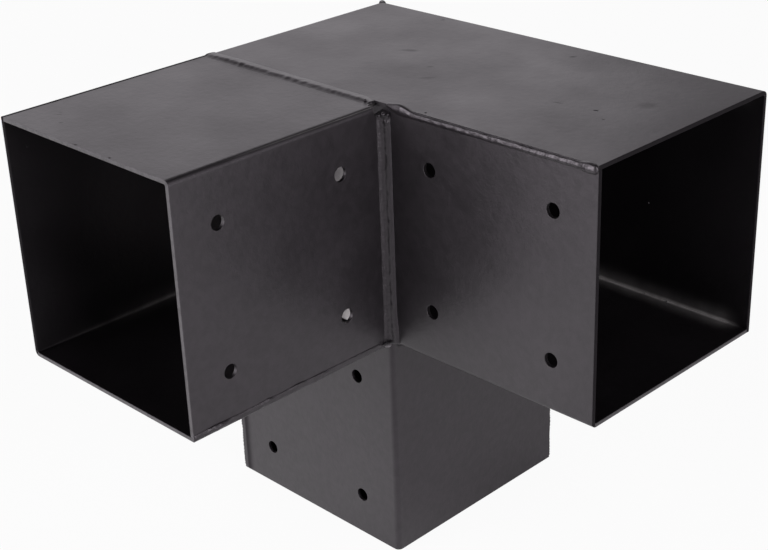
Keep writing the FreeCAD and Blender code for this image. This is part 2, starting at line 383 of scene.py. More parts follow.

# %% [markdown]
# ## Where the coat is thin, and where light and shade are painted
# Powder flies to the nearest steel, so it piles up on outside faces and hardly reaches inside corners. The
# cut rims are paler where the coat thins over the edge, and that paleness is kept to the lit rims as a
# painted highlight. The inside corners of the sockets show a grey line with a haze round it: thin coat, and
# a painted highlight of the light that the corner mirrors from the mouth. Grey steel shows through the two
# screw holes next to the corner, painted paler towards the bottom as painted light from the mouth. Other
# places are dull and nearly black, as painted shade: the insides of the sockets, the rims in the shade, the
# bores of the screw holes, and a band beside the post's left seam that stands in for the dark line of a
# rounded edge there. The left edge of the arm's top has a dark line too. Painting such marks by hand would
# need a layout of the mesh, so two groups find the places by how far they are from the rims, walls and
# corners.

# %% Group: cut rims, and where the walls are
RIM_DEPTH = 0.4 * MM
RIM_SPECKS = 600.0
RIM_DETAIL = 2.0
RIM_PATCHES = (0.3, 0.6, 0.5, 1.0)
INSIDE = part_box("cover_sheet")[1].y - SHEET
OUTSIDE = INSIDE + SHEET
INSIDE_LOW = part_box("cradle_sheet")[0].z + SHEET
INSIDE_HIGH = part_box("cradle_sheet")[1].z


def above(tree, value, limit):
    """1 where value is greater than limit."""
    return calculate(tree, "GREATER_THAN", calculate(tree, "SUBTRACT", value, limit), 0.0)


rims, given, made = start_group(
    "cut_rims",
    {"Box": 1.0, "Arm": 1.0, "Post": 1.0, "Dark": 1.0},
    {"Pale": "Float", "Dark": "Float"},
)
x, y, z = add(rims, "ShaderNodeSeparateXYZ", Vector=here(rims)).outputs
upper = above(rims, z, INSIDE_HIGH)
rear = above(rims, y, INSIDE)
left = above(rims, -INSIDE, x)
front = above(rims, -INSIDE, y)
from_left = calculate(rims, "ADD", x, OUTSIDE)
upright = calculate(rims, "MAXIMUM", rear, front)
# Rims that face away from the lamps are painted dark: painted shade.
unlit = {"Box": calculate(rims, "MAXIMUM", upper, upright), "Arm": left, "Post": 0.0}
print("walls in mm:", [round(v / MM, 1) for v in (INSIDE, INSIDE_LOW, INSIDE_HIGH)])

# %% Group: cut rims, the dark lines and painted shade
EDGE_LINE = 1.8 * MM
BORE_SHARE = 0.8
# Where the painted shade band beside the post's left seam rises, peaks and fades.
FOLD_SHADE_NEAR = 1.2 * MM
FOLD_SHADE_PEAK = 2.6 * MM
FOLD_SHADE_FAR = 8.0 * MM
FOLD_SHADE_SHARE = 0.7

edge_line = ramp(rims, from_left, EDGE_LINE / 2, EDGE_LINE, 1.0, 0.0)
edge_line = product(rims, edge_line, front, upper)

# Painted shade in the bores of the screw holes in the box's walls, within the sheet's thickness.
from_face = calculate(rims, "SUBTRACT", OUTSIDE, calculate(rims, "ABSOLUTE", y))
off_centre = calculate(rims, "ABSOLUTE", calculate(rims, "SUBTRACT", from_face, HALF_SHEET))
in_wall = above(rims, HALF_SHEET * BORE_SHARE, off_centre)
from_top = calculate(rims, "SUBTRACT", INSIDE_HIGH, z)
from_plates = calculate(rims, "MINIMUM", from_top, calculate(rims, "SUBTRACT", z, INSIDE_LOW))
off_plates = above(rims, from_plates, 2 * SHEET)
off_post = above(rims, x, INSIDE + 2 * SHEET)
bore = product(rims, in_wall, off_plates, off_post)

# Painted shade: a dark band beside the post's left seam, standing in for the dark line of a rounded edge.
shade_rising = ramp(rims, from_left, FOLD_SHADE_NEAR, FOLD_SHADE_PEAK, 0.0, 1.0)
shade_falling = ramp(rims, from_left, FOLD_SHADE_PEAK, FOLD_SHADE_FAR, 1.0, 0.0)
under_arm = above(rims, INSIDE_LOW - 2 * SHEET, z)
fold_shade = product(rims, shade_rising, shade_falling, shade_falling, under_arm, front, FOLD_SHADE_SHARE)
dark_lines_and_shade = calculate(rims, "MAXIMUM", calculate(rims, "MAXIMUM", edge_line, bore), fold_shade)
print("dark marks:", len(rims.nodes), "nodes so far")

# %% Group: cut rims, pale and dark
pale = 0.0
dark = 0.0
# Near each mouth the rim is pale where lit, thin coat with a painted highlight, and dark where unlit,
# painted shade.
for mouth, depth in depths(rims).items():
    near = ramp(rims, depth, 0.0, RIM_DEPTH, 1.0, 0.0)
    pale = calculate(rims, "MULTIPLY_ADD", near, given[mouth], pale)
    dark = calculate(rims, "MULTIPLY_ADD", near, unlit[mouth], dark)
dark = calculate(rims, "MULTIPLY", calculate(rims, "MAXIMUM", dark, dark_lines_and_shade), given["Dark"])
patchy = ramp(rims, grain(rims, RIM_SPECKS, RIM_DETAIL), *RIM_PATCHES)
pale = product(rims, pale, calculate(rims, "SUBTRACT", 1.0, dark), patchy)
rims.links.new(pale, made["Pale"])
rims.links.new(dark, made["Dark"])
print("cut rims:", len(rims.nodes), "nodes")

# %% Group: thin coat and painted light, the inside corners
BOX_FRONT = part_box("cradle_sheet")[0].y
CORE = 1.7 * MM
HAZE = 10.0 * MM
REACH_START = 2.0 * MM
BOX_CORNERS = {"core_share": 0.75, "haze_share": 0.50, "full_depth": 12.0 * MM}
ARM_CORNERS = {"core_share": 0.55, "haze_share": 0.40, "full_depth": 80.0 * MM}
BOX_SOCKET_SHADE = 0.75


def corner_thinness_and_highlight(tree, across, height, depth, core_share, haze_share, full_depth):
    """The grey line along the four long inside corners of one socket, thin coat with a painted highlight,
    and what lies inside it.
    """
    from_side = calculate(tree, "SUBTRACT", INSIDE, calculate(tree, "ABSOLUTE", across))
    from_low = calculate(tree, "SUBTRACT", height, INSIDE_LOW)
    from_high = calculate(tree, "SUBTRACT", INSIDE_HIGH, height)
    from_plate = calculate(tree, "MINIMUM", from_low, from_high)
    inside = above(tree, calculate(tree, "MINIMUM", from_side, from_plate), -HALF_SHEET)
    off_side = calculate(tree, "ABSOLUTE", from_side)
    off_plate = calculate(tree, "ABSOLUTE", from_plate)
    away = calculate(tree, "ADD", off_side, off_plate)
    # The grey line and its haze are thin coat and a painted highlight, fading out towards the mouth.
    core = ramp(tree, away, 0.0, CORE, core_share, 0.0)
    haze = ramp(tree, away, 0.0, HAZE, haze_share, 0.0)
    thin_and_light = calculate(tree, "ADD", core, calculate(tree, "MULTIPLY", haze, haze))
    reach = ramp(tree, depth, REACH_START, full_depth, 0.0, 1.0)
    return product(tree, thin_and_light, inside, reach), inside


thin_coat_and_shading, given, made = start_group(
    "thin_coat_and_shading",
    {"Corners": 1.0, "Arm end": 1.0},
    {"Mask": "Float", "Inside": "Float"},
)
x, y, z = add(thin_coat_and_shading, "ShaderNodeSeparateXYZ", Vector=here(thin_coat_and_shading)).outputs
behind = depths(thin_coat_and_shading)
before_box = above(thin_coat_and_shading, BOX_FRONT, y)
box_corners, in_box = corner_thinness_and_highlight(thin_coat_and_shading, y, z, behind["Box"], **BOX_CORNERS)
arm_corners, in_arm = corner_thinness_and_highlight(thin_coat_and_shading, x, z, behind["Arm"], **ARM_CORNERS)
# Painted shade: the insides of the sockets go nearly black, the box's a little less.
in_box = calculate(thin_coat_and_shading, "MULTIPLY", in_box, BOX_SOCKET_SHADE)
in_arm = calculate(thin_coat_and_shading, "MULTIPLY", in_arm, before_box)
thin_coat_and_shading.links.new(calculate(thin_coat_and_shading, "MAXIMUM", in_box, in_arm), made["Inside"])
arm_corners = calculate(thin_coat_and_shading, "MULTIPLY", arm_corners, before_box)
corners = calculate(thin_coat_and_shading, "MAXIMUM", box_corners, arm_corners)
corners = calculate(thin_coat_and_shading, "MULTIPLY", corners, given["Corners"])
print("inside corners:", len(thin_coat_and_shading.nodes), "nodes so far")

# %% Group: thin coat and painted light, the wall at the arm's end
STEEL_NEAR = 18 * MM
STEEL_FAR = 40 * MM
STEEL_TOP = INSIDE_HIGH - 28 * MM
STEEL_LEAST = 0.3
HAZE_SCALE = 120.0
HAZE_DETAIL = 4.0
HAZE_PATCHES = (0.25, 0.65, 0.6, 1.15)

off_wall = calculate(thin_coat_and_shading, "ABSOLUTE", calculate(thin_coat_and_shading, "SUBTRACT", y, BOX_FRONT))
on_wall = above(thin_coat_and_shading, HALF_SHEET, off_wall)
from_side = calculate(thin_coat_and_shading, "SUBTRACT", INSIDE, calculate(thin_coat_and_shading, "ABSOLUTE", x))
beside = ramp(thin_coat_and_shading, from_side, STEEL_NEAR, STEEL_FAR, 1.0, 0.0)
beside = calculate(thin_coat_and_shading, "MULTIPLY", beside, above(thin_coat_and_shading, from_side, 0.0))
# Painted light: the grey is paler at the bottom, where light from the mouth falls, and gone near the top.
lower = ramp(thin_coat_and_shading, z, INSIDE_LOW, INSIDE_HIGH, 1.0, STEEL_LEAST)
over_floor = above(thin_coat_and_shading, z, INSIDE_LOW)
under_top = ramp(thin_coat_and_shading, z, STEEL_TOP, INSIDE_HIGH, 1.0, 0.0)
arm_end = product(thin_coat_and_shading, on_wall, beside, lower, over_floor, under_top, given["Arm end"])

patchy = ramp(thin_coat_and_shading, grain(thin_coat_and_shading, HAZE_SCALE, HAZE_DETAIL), *HAZE_PATCHES)
thinness_and_light = calculate(thin_coat_and_shading, "MULTIPLY", calculate(thin_coat_and_shading, "MAXIMUM", corners, arm_end), patchy)
thin_coat_and_shading.links.new(thinness_and_light, made["Mask"])
print("thin coat:", len(thin_coat_and_shading.nodes), "nodes")

# %% [markdown]
# ## Marks from handling
# The photograph shows a few scuffs on the tops: short dashes near the side arm's left corner and soft
# dents on the box. Each mark is a stroke with a place, a direction, a length and a width. A group turns
# the list into one mask. The material makes the coat duller there and dents it a little.

# %% Group: scuffs
# Each mark's place on the tops, turn in degrees, length, width and weight, in millimetres.
SCUFFS = [
    ((-25.2, -132.5), 40.0, 2.4, 0.45, 1.0),
    ((-33.0, -127.9), 40.0, 2.8, 0.40, 0.6),
    ((-34.6, -126.3), 40.0, 2.0, 0.35, 0.6),
    ((-46.3, -121.3), 85.0, 5.0, 1.60, 1.0),
    ((-2.7, -142.0), 0.0, 2.4, 0.90, 1.0),
    ((16.3, -141.9), 0.0, 2.0, 0.80, 1.0),
    ((110.0, -7.2), 20.0, 2.4, 1.50, 1.0),
    ((117.5, -12.8), 20.0, 1.6, 1.00, 0.6),
    ((120.7, 8.2), 45.0, 10.0, 8.50, 0.15),
    ((95.0, -9.2), 10.0, 6.0, 1.60, 0.2),
    ((66.1, 35.4), 45.0, 4.0, 1.60, 0.5),
    ((40.9, -17.4), 45.0, 8.0, 3.00, 0.15),
    ((32.4, -7.3), 45.0, 4.0, 1.20, 0.4),
    ((12.0, 3.0), 30.0, 10.0, 4.00, 0.2),
    ((-6.7, 41.9), 60.0, 2.6, 1.20, 0.5),
]
SCUFF_CORE = 0.2
TOP_MARGIN = 0.5 * MM
MARKED_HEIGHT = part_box("arm_hood_sheet")[1].z - TOP_MARGIN

scuffs, given, made = start_group("scuffs", {"Strength": 1.0}, {"Mask": "Float"})
z = add(scuffs, "ShaderNodeSeparateXYZ", Vector=here(scuffs)).outputs["Z"]
marks = 0.0
for (mark_x, mark_y), turn, length, width, weight in SCUFFS:
    spot = add(scuffs, "ShaderNodeMapping", Vector=here(scuffs))
    spot.vector_type = "TEXTURE"
    spot.inputs["Location"].default_value = (mark_x * MM, mark_y * MM, MARKED_HEIGHT)
    spot.inputs["Rotation"].default_value = (0, 0, math.radians(turn))
    spot.inputs["Scale"].default_value = (length / 2 * MM, width / 2 * MM, 1.0)
    away = add(scuffs, "ShaderNodeVectorMath", i0=spot.outputs[0])
    away.operation = "LENGTH"
    mark = ramp(scuffs, away.outputs["Value"], SCUFF_CORE, 1.0, weight, 0.0)
    marks = calculate(scuffs, "MAXIMUM", marks, mark)
marks = product(scuffs, marks, above(scuffs, z, MARKED_HEIGHT), given["Strength"])
scuffs.links.new(marks, made["Mask"])
print("scuffs:", len(SCUFFS), "marks")

# %% [markdown]
# ## Three finishes
# The flat sheet and the weld metal wear the same coat, but it flows differently over them: the weld is
# coarser and a little glossier. One drop of weld at the foot of the inside corner has a paler finish of its
# own, a painted highlight that makes it look lit. One function builds all three materials from the groups
# above. The index of refraction sets how much the coat mirrors, so it stays a plain number on the shader
# itself.

# %% Mix the finishes
COAT_IOR = 1.6
COAT_TINT = (1.0, 0.94, 1.0, 1)
COAT_DARK = (0.0090, 0.0079, 0.0090, 1)
COAT_LIGHT = (0.0155, 0.0135, 0.0155, 1)
# Painted shade for the insides of the sockets, and the colour of the dark rims and lines.
INSIDE_SHADE_COLOUR = (0.0024, 0.0018, 0.0024, 1)
# Pale cut rims: thin coat, with a painted highlight where they are lit.
RIM_COLOUR = (0.110, 0.106, 0.110, 1)
# Grey of bare steel, and of the painted highlight in the inside corners.
STEEL_AND_HIGHLIGHT_COLOUR = (0.42, 0.41, 0.40, 1)
# The pale drop at the foot of the inside corner: a painted highlight.
HIGHLIGHT_DROP_DARK = (0.11, 0.106, 0.11, 1)
HIGHLIGHT_DROP_LIGHT = (0.18, 0.173, 0.18, 1)
STEEL_DULLNESS = 0.25
DARK_DULLNESS = 0.55
DARK_METAL = 0.5
SCUFF_DULLNESS = 0.50
SCUFF_DEPTH = 0.16 * MM
NIB_HEIGHT = 0.10 * MM


def place_group(tree, group, **values):
    """Puts a node group into a material with values of its own."""
    node = tree.nodes.new("ShaderNodeGroup")
    node.node_tree = group
    for label, value in values.items():
        node.inputs[label.replace("_", " ")].default_value = value
    return node.outputs


def coat(name, satin, spread, peel_depth, coarse_share, nib_share, dark=COAT_DARK, light=COAT_LIGHT):
    """A satin black coat over steel."""
    material = bpy.data.materials.new(name)
    material.use_nodes = True
    tree = material.node_tree
    shader = tree.nodes["Principled BSDF"]
    shader.inputs["IOR"].default_value = COAT_IOR
    shader.inputs["Specular Tint"].default_value = COAT_TINT
    cloudy = place_group(tree, clouds, Dark=dark, Light=light, Mottling=3.0, Satin=satin, Spread=spread)
    # How pale the lit rims are at each mouth: thin coat with a painted highlight.
    rim = place_group(tree, rims, Box=0.15, Arm=0.50, Post=0.4, Dark=1.0)
    thin_and_light = place_group(tree, thin_coat_and_shading, Corners=1.0, Arm_end=1.0)
    marked = place_group(tree, scuffs, Strength=1.0)["Mask"]
    # Painted shade: the insides of the sockets, the rims in the shade, the hole bores and the band by the
    # post's seam; also the dark line on the arm's top.
    dim = calculate(tree, "MAXIMUM", thin_and_light["Inside"], rim["Dark"])
    colour = mix_colours(tree, dim, cloudy["Colour"], INSIDE_SHADE_COLOUR)
    # Pale rims: thin coat and painted highlight.
    colour = mix_colours(tree, rim["Pale"], colour, RIM_COLOUR)
    # Grey steel where the coat is thin, and the painted highlight in the inside corners.
    colour = mix_colours(tree, thin_and_light["Mask"], colour, STEEL_AND_HIGHLIGHT_COLOUR)
    tree.links.new(colour, shader.inputs["Base Color"])
    dull = calculate(tree, "MULTIPLY_ADD", marked, SCUFF_DULLNESS, cloudy["Roughness"])
    dull = calculate(tree, "MULTIPLY_ADD", thin_and_light["Mask"], STEEL_DULLNESS, dull)
    dull = calculate(tree, "MULTIPLY_ADD", rim["Dark"], DARK_DULLNESS, dull)
    tree.links.new(dull, shader.inputs["Roughness"])
    # The dark rims and lines turn half metallic, so they mirror less: more painted shade.
    tree.links.new(calculate(tree, "MULTIPLY", rim["Dark"], DARK_METAL), shader.inputs["Metallic"])
    peel_height = place_group(tree, peel, Coarse_share=coarse_share)["Height"]
    dimples = add(tree, "ShaderNodeBump", Height=peel_height, Distance=peel_depth).outputs[0]
    nib_height = place_group(tree, nibs, Share_of_cells=nib_share, Share_at_rims=0.25)["Height"]
    dust = add(tree, "ShaderNodeBump", Height=nib_height, Distance=NIB_HEIGHT, Normal=dimples).outputs[0]
    dents = add(tree, "ShaderNodeBump", Height=marked, Distance=SCUFF_DEPTH, Normal=dust)
    dents.invert = True
    tree.links.new(dents.outputs[0], shader.inputs["Normal"])
    return material


sheet_coat = coat(
    "sheet_coat",
    satin=0.42,
    spread=0.22,
    peel_depth=0.10 * MM,
    coarse_share=0.7,
    nib_share=0.02,
)
weld_coat = coat(
    "weld_coat",
    satin=0.38,
    spread=0.15,
    peel_depth=0.08 * MM,
    coarse_share=0.6,
    nib_share=0.04,
)
# One drop at the foot of the inside corner looks lit: its paler coat is a painted highlight.
painted_highlight_coat = coat(
    "painted_highlight_coat",
    satin=0.45,
    spread=0.15,
    peel_depth=0.08 * MM,
    coarse_share=0.6,
    nib_share=0.0,
    dark=HIGHLIGHT_DROP_DARK,
    light=HIGHLIGHT_DROP_LIGHT,
)
print("finishes:", sheet_coat.name, weld_coat.name, painted_highlight_coat.name)

# %% [markdown]
# ## Sheets with soft edges
# A laser leaves a square edge on the sheet, but melted coat rounds it over, and that thin rounding is what
# catches the light along every rim, seam and hole. The CAD mesh itself stays as it is. Modifiers weld its
# split vertices, clear the flat triangles away, round every sharp edge by the thickness of the coat, and
# keep the faces flat between them.

# %% Soften and coat the sheets
EDGE_ROUND = 0.15 * MM
EDGE_STEPS = 2
SPLIT_GAP = 0.001 * MM
FLAT_ANGLE = math.radians(0.5)
SHARP_ANGLE = math.radians(40)

clean = bpy.data.node_groups.new("weld_and_smooth", "GeometryNodeTree")
clean.interface.new_socket("Geometry", in_out="INPUT", socket_type="NodeSocketGeometry")
clean.interface.new_socket("Geometry", in_out="OUTPUT", socket_type="NodeSocketGeometry")
arriving = clean.nodes.new("NodeGroupInput").outputs[0]
merged = add(clean, "GeometryNodeMergeByDistance", Geometry=arriving, Distance=SPLIT_GAP).outputs[0]
plain = add(clean, "GeometryNodeRemoveAttribute", Geometry=merged, Name="custom_normal").outputs[0]
smooth = add(clean, "GeometryNodeSetShadeSmooth", Geometry=plain).outputs[0]
clean.links.new(smooth, clean.nodes.new("NodeGroupOutput").inputs[0])

for name in sheets:
    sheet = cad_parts[name]
    sheet.material_slots[0].link = "OBJECT"
    sheet.material_slots[0].material = sheet_coat
    sheet.modifiers.new("weld_and_smooth", "NODES").node_group = clean
    flatten = sheet.modifiers.new("flatten", "DECIMATE")
    flatten.decimate_type = "DISSOLVE"
    flatten.angle_limit = FLAT_ANGLE
    rounding = sheet.modifiers.new("round_edges", "BEVEL")
    rounding.width = EDGE_ROUND
    rounding.segments = EDGE_STEPS
    rounding.limit_method = "ANGLE"
    rounding.angle_limit = SHARP_ANGLE
    rounding.harden_normals = True
print("coated sheets:", len(sheets))

# %% [markdown]
# ## Beads of weld
# A weld bead is a row of small frozen puddles. Each one overlaps the last in a crescent, and the hand that
# laid it wanders, hurries and stops. A curve with a round bevel would be far too even. So one function
# lays rings of points along a straight run, shapes them after the bead's cross section, and pushes them
# out by three things: crescent ripples, slow lumps, and the swellings and bumps seen along the real runs.
# The noise is the same at every run of this script.

# %% Cross sections of beads, in millimetres
CROWN_POINTS = 19
ROOT_DEPTH = 0.4


def raised(width, height):
    """Crown and root of a bead on a flat face: points across it and out of it."""
    turns = [math.pi * n / (CROWN_POINTS - 1) for n in range(CROWN_POINTS)]
    crown = [(-math.cos(t) * width / 2, math.sin(t) * height) for t in turns]
    return crown, [(width / 2, -ROOT_DEPTH), (-width / 2, -ROOT_DEPTH)]


def bulged(first, last, belly, count):
    """Points from first to last on a line that bulges by belly."""
    first, last = Vector(first), Vector(last)
    out = Vector((first.y - last.y, last.x - first.x)).normalized() * belly
    steps = [n / (count - 1) for n in range(count)]
    return [tuple(first.lerp(last, t) + out * math.sin(math.pi * t)) for t in steps]


def corner_root(leg_u, leg_v):
    """Root of a bead in an inside corner, under its two legs."""
    return [(leg_u, -ROOT_DEPTH), (-ROOT_DEPTH, -ROOT_DEPTH), (-ROOT_DEPTH, leg_v)]


def fillet(leg_u, leg_v, belly):
    """Crown and root of a bead in an inside corner."""
    return bulged((0, leg_v), (leg_u, 0), belly, CROWN_POINTS), corner_root(leg_u, leg_v)


print("points in a crown:", CROWN_POINTS)

# %% The points of a bead
STEP = 0.22
RIPPLE_PITCH = 1.45
RIPPLE_BOW = 0.9
RIPPLE_SKEW = 0.7
PITCH_DRIFT = 1.5
PITCH_LENGTH = 6
DRIFT_LENGTH = 5.0
LUMP_LENGTH = 2.2
LUMPS_ACROSS = 3
BUMP_SQUEEZE = 4
FADE_POWER = 0.6
SMALLEST = 0.06
# Rows of the noise that no two uses share.
DRIFT_ROW = 7.3
PITCH_ROW = 1.7
# A swell is its place along the bead, its spread, and how much it adds in these columns.
WIDER, HIGHER, SIDEWAYS = 2, 3, 4


def hump(distance, spread):
    """A smooth swelling, 1 in its middle."""
    return math.exp(-((distance / spread) ** 2))


def swollen(swells, column, s):
    """How much the swells add at s in one of their columns."""
    return sum(swell[column] * hump(s - swell[0], swell[1]) for swell in swells)


def bumped(bumps, s, t):
    """How much the bumps add at s, where t goes from 0 to 1 across the crown."""
    total = 0
    for place, where, spread, height in bumps:
        total += height * hump(s - place, spread) * hump((t - where) * BUMP_SQUEEZE, spread)
    return total


def bead_points(
    start,
    end,
    across,
    outward,
    section,
    seed,
    nose=1.2,
    ripple=0.1,
    lump=0.18,
    swells=(),
    bumps=(),
):
    """Rings of points from start to end, in millimetres. nose is the length of the rounded ends."""
    crown, root = section
    run = end - start
    along = run.normalized()
    count = max(2, round(run.length / STEP))
    points = []
    for i in range(count + 1):
        s = run.length * i / count
        from_end = min(s, run.length - s)
        taper = max(SMALLEST, math.sqrt(max(0.0, 1 - max(0.0, 1 - from_end / nose) ** 2)))
        wider = taper * (1 + swollen(swells, WIDER, s))
        higher = taper * (1 + swollen(swells, HIGHER, s))
        wander = lump * noise.noise(Vector((s / DRIFT_LENGTH, seed, DRIFT_ROW)))
        aside = swollen(swells, SIDEWAYS, s) + wander
        pitch_drift = PITCH_DRIFT * noise.noise(Vector((s / PITCH_LENGTH, seed, PITCH_ROW)))
        for n, (u, v) in enumerate(crown):
            t = n / (len(crown) - 1)
            fade = math.sin(math.pi * t) ** FADE_POWER if 0 < t < 1 else 0.0
            phase = (s + RIPPLE_BOW * fade + pitch_drift) / RIPPLE_PITCH
            crescent = math.cos(2 * math.pi * (phase - math.floor(phase)) ** RIPPLE_SKEW)
            lumps = noise.noise(Vector((s / LUMP_LENGTH, LUMPS_ACROSS * t, seed)))
            push = ((ripple * crescent + lump * lumps) * higher + bumped(bumps, s, t)) * fade
            before, after = crown[max(n - 1, 0)], crown[min(n + 1, len(crown) - 1)]
            tangent = Vector((after[0] - before[0], after[1] - before[1])).normalized()
            place_u = u * wider - tangent.y * push + aside
            place_v = v * higher + tangent.x * push
            points.append(start + along * s + across * place_u + outward * place_v)
        for u, v in root:
            points.append(start + along * s + across * (u * wider + aside) + outward * v)
    return points


print("rings every", STEP, "mm")

# %% The function that lays a bead
X = Vector((1, 0, 0))
Y = Vector((0, 1, 0))
Z = Vector((0, 0, 1))


def lay_bead(node, start, end, across, outward, section, seed, **shape):
    """Lays a bead in place of a CAD node. shape holds its nose, ripple, lump, swells and bumps."""
    points = bead_points(start, end, across, outward, section, seed, **shape)
    ring = len(section[0]) + len(section[1])
    count = len(points) // ring - 1
    faces = []
    for i in range(count):
        for n in range(ring):
            m = (n + 1) % ring
            faces.append((i * ring + n, i * ring + m, (i + 1) * ring + m, (i + 1) * ring + n))
    faces.append(tuple(reversed(range(ring))))
    faces.append(tuple(count * ring + n for n in range(ring)))
    mesh = bpy.data.meshes.new(node + "_bead")
    mesh.from_pydata([p * MM for p in points], [], faces)
    mesh.shade_smooth()
    mesh.materials.append(weld_coat)
    mesh.validate()
    bead = bpy.data.objects.new(node + "_bead", mesh)
    bpy.context.collection.objects.link(bead)
    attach(bead, "root")
    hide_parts(node)
    print(node, "bead:", len(faces), "faces,", round((end - start).length, 1), "mm")


# %% [markdown]
# ## Seams along the sockets
# Each socket is two angles of sheet, so it has two long seams at opposite corners. On the real object they
# are narrow and quick, with a fat start or end where the welder paused. The box's upper seam starts as a
# leaf that laps up over the plate's edge and ends in a round blob at the mouth. The frame's own boxes say
# where every wall is, and the beads sit on the faces that they join.

# %% Where the walls are, in millimetres
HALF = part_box("post_front_sheet")[1].x / MM
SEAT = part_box("post_front_sheet")[1].z / MM
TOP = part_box("cover_sheet")[1].z / MM
BOX_END = BOX_MOUTH / MM
ARM_END = ARM_MOUTH / MM
FOOT_LEVEL = FOOT / MM
ARM_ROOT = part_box("arm_hood_sheet")[1].y / MM
ARM_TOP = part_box("arm_hood_sheet")[1].z / MM
ARM_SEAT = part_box("arm_tray_sheet")[0].z / MM
GAP = -HALF - ARM_ROOT
DROP = TOP - ARM_TOP
BEND = 2.2
print("walls at", HALF, SEAT, TOP, BOX_END, ARM_END, ARM_ROOT, "gap", round(GAP, 2))

# %% Lay the box's two long seams
SEAM_WIDTH = 2.4
SEAM_INSET = 1.3
SEAM = raised(SEAM_WIDTH, 1.0)
MOUTH_GAP = 1.3
TOP_SEAM_DEPTH = 1.6
TOP_SEAM_HALF = 1.35
TOP_SEAM_START = 1.9
TOP_SEAM_STOP = 0.2
BOTTOM_SEAM_START = 7.2

top_seam_crown = [
    (-TOP_SEAM_HALF, 0.00),
    (-1.33, 0.25),
    (-1.27, 0.48),
    (-1.17, 0.66),
    (-1.00, 0.78),
    (-0.80, 0.86),
    (-0.60, 0.93),
    (-0.40, 0.99),
    (-0.20, 1.04),
    (0.00, 1.07),
    (0.20, 1.06),
    (0.40, 1.00),
    (0.60, 0.90),
    (0.80, 0.74),
    (1.00, 0.53),
    (1.20, 0.26),
    (TOP_SEAM_HALF, 0.00),
]
lay_bead(
    "weld_box_top_seam",
    Vector((HALF + TOP_SEAM_START, -HALF, TOP - TOP_SEAM_DEPTH)),
    Vector((BOX_END - TOP_SEAM_STOP, -HALF, TOP - TOP_SEAM_DEPTH)),
    -Z,
    -Y,
    (top_seam_crown, [(TOP_SEAM_HALF, -ROOT_DEPTH), (-TOP_SEAM_HALF, -ROOT_DEPTH)]),
    seed=1.0,
    nose=1.4,
    ripple=0.01,
    lump=0.12,
    swells=[
        (0.0, 3.0, -0.60, -0.3, -1.2),
        (6.5, 4.5, 0.60, 0.15, -0.75),
        (89.5, 3.5, 0.45, 0.40, 0.0),
    ],
)
lay_bead(
    "weld_box_bottom_seam",
    Vector((HALF + BOTTOM_SEAM_START, HALF - SEAM_INSET, SEAT)),
    Vector((BOX_END - MOUTH_GAP, HALF - SEAM_INSET, SEAT)),
    Y,
    -Z,
    SEAM,
    seed=2.0,
    swells=[(86.0, 2.0, 0.2, 0.4, 0.0)],
)

# %% Lay the long seams of the arm and the post
ARM_SEAM_DEPTH = 1.9
JOINT_GAP = 3.8
RIM_GAP = 0.1

lay_bead(
    "weld_arm_top_seam",
    Vector((-HALF, ARM_END + MOUTH_GAP, ARM_TOP - ARM_SEAM_DEPTH)),
    Vector((-HALF, ARM_ROOT - JOINT_GAP, ARM_TOP - ARM_SEAM_DEPTH)),
    -Z,
    -X,
    raised(SEAM_WIDTH, 0.6),
    seed=3.0,
    lump=0.10,
)
lay_bead(
    "weld_arm_bottom_seam",
    Vector((HALF, ARM_END + RIM_GAP, ARM_SEAT + SEAM_INSET)),
    Vector((HALF, ARM_ROOT - JOINT_GAP, ARM_SEAT + SEAM_INSET)),
    Z,
    X,
    raised(SEAM_WIDTH, 0.3),
    seed=4.0,
    ripple=0.0,
    lump=0.10,
    swells=[
        (11.0, 5.5, 0.1, 1.6, 0.2),
        (33.0, 3.5, 0.1, 0.7, 0.2),
        (47.0, 5.0, 0.1, 0.8, 0.3),
        (58.5, 4.0, 0.1, 0.7, 0.0),
    ],
)
lay_bead(
    "weld_post_left_seam",
    Vector((-HALF, -HALF + SEAM_INSET, FOOT_LEVEL + RIM_GAP)),
    Vector((-HALF, -HALF + SEAM_INSET, SEAT - JOINT_GAP)),
    Y,
    -X,
    SEAM,
    seed=5.0,
)
lay_bead(
    "weld_post_right_seam",
    Vector((HALF - SEAM_INSET, HALF, FOOT_LEVEL + RIM_GAP)),
    Vector((HALF - SEAM_INSET, HALF, SEAT - JOINT_GAP)),
    X,
    Y,
    SEAM,
    seed=6.0,
)

# %% [markdown]
# ## Where the sockets meet
# The side arm stands a little off the box and the gap is filled with weld. On top it is a shallow ridge
# that climbs from the arm to the slightly higher box. In the inside corner it is an upright fillet of two
# passes side by side, and outside a flatter run. The post is welded underneath all round. These are the
# slow, heavy runs, so they have lumps rather than ripples.

# %% Lay the ridge on top
RIDGE_FOOT = -2.6
RIDGE_BACK = 3.4
RIDGE_SUNK = 0.05
RIDGE_LIP = 0.3
RIDGE_START = 0.1
RIDGE_STOP = BEND + 1.6
GAP_FILL = 1.5

